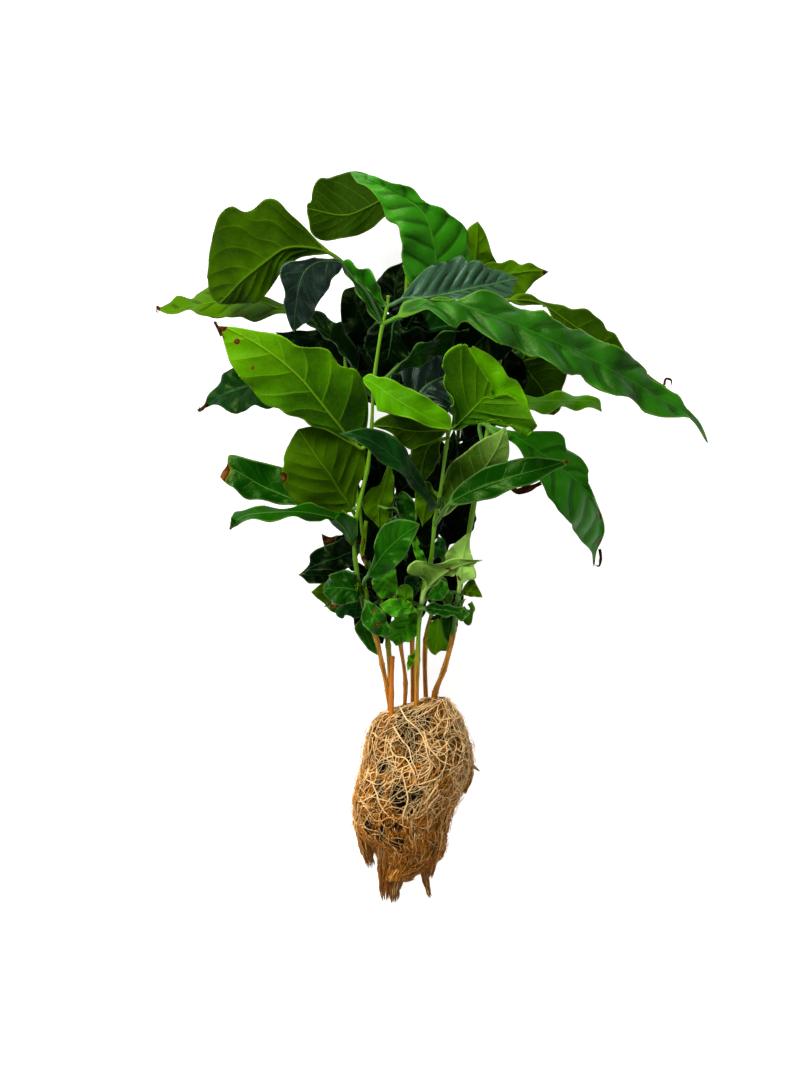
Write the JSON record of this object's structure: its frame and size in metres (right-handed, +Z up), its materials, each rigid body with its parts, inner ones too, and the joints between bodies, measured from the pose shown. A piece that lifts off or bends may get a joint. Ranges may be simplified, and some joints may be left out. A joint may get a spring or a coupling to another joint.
{
  "type": "bare-root coffee plant clump",
  "caption": "Clump of young coffee plants lying on its back, with glossy drip-tipped leaves, thin stems and a cup-shaped plug of bare tangled roots.",
  "frame": {"origin": "on the surface that the clump lies on, under the middle of its bounding box", "axes": "+X across the clump, +Y from the roots to the crown, +Z up from the surface; the side that the picture shows faces +Z"},
  "size_m": [0.219, 0.2978, 0.116],
  "materials": {
    "leaf_fresh": "satin",
    "leaf_lime": "satin",
    "leaf_mid": "gloss",
    "leaf_deep": "gloss",
    "leaf_olive": "satin",
    "leaf_pale": "matte",
    "bark": "matte",
    "root": "matte"
  },
  "bodies": {
    "root": {"root_ball": "root", "stem_left": "bark", "stem_right": "bark", "stem_centre": "bark", "stem_inner": "bark", "stem_pale": "bark", "stem_back_right": "bark", "stem_far_right": "bark", "stem_stub": "bark", "leaf_long_right": "leaf_fresh", "leaf_quilted": "leaf_deep", "leaf_upper_left": "leaf_olive", "leaf_dark_hanging": "leaf_deep", "leaf_lime": "leaf_lime", "leaf_big_left": "leaf_lime", "leaf_round_left": "leaf_olive", "leaf_left_brown_tip": "leaf_mid", "leaf_left_low": "leaf_fresh", "leaf_centre_glossy": "leaf_mid", "leaf_low_left_round": "leaf_mid", "leaf_low_centre_left": "leaf_mid", "leaf_cupped": "leaf_lime", "leaf_under_lime": "leaf_olive", "leaf_dark_diagonal": "leaf_deep", "leaf_pale": "leaf_pale", "leaf_right_low": "leaf_mid", "leaf_spoon": "leaf_pale", "leaf_low_right": "leaf_mid", "leaf_crown": "leaf_mid", "leaf_crown_back": "leaf_olive", "leaf_dark_top": "leaf_deep", "leaf_dark_inner": "leaf_deep", "leaf_dark_narrow": "leaf_deep", "leaf_back_left_high": "leaf_deep", "leaf_dark_left": "leaf_deep", "leaf_quilted_dark": "leaf_deep", "leaf_olive_centre": "leaf_olive", "leaf_dark_centre": "leaf_deep", "leaf_low_centre_green": "leaf_mid", "leaf_low_centre": "leaf_mid", "leaf_far_left": "leaf_fresh", "leaf_dark_level": "leaf_deep", "leaf_left_behind": "leaf_deep", "leaf_low_left_dark": "leaf_deep", "leaf_low_left_light": "leaf_olive", "leaf_low_hanging_left": "leaf_fresh", "leaf_brown_tip_right": "leaf_olive", "leaf_olive_up": "leaf_olive", "leaf_back_right_high": "leaf_mid", "leaf_low_right_back": "leaf_olive", "leaf_behind_long": "leaf_olive", "leaf_olive_shade": "leaf_olive", "leaf_right_narrow": "leaf_fresh", "leaf_right_hanging": "leaf_mid", "leaf_pale_right": "leaf_pale", "leaf_small_right": "leaf_olive", "leaf_low_round": "leaf_mid"}
  },
  "joints": []
}
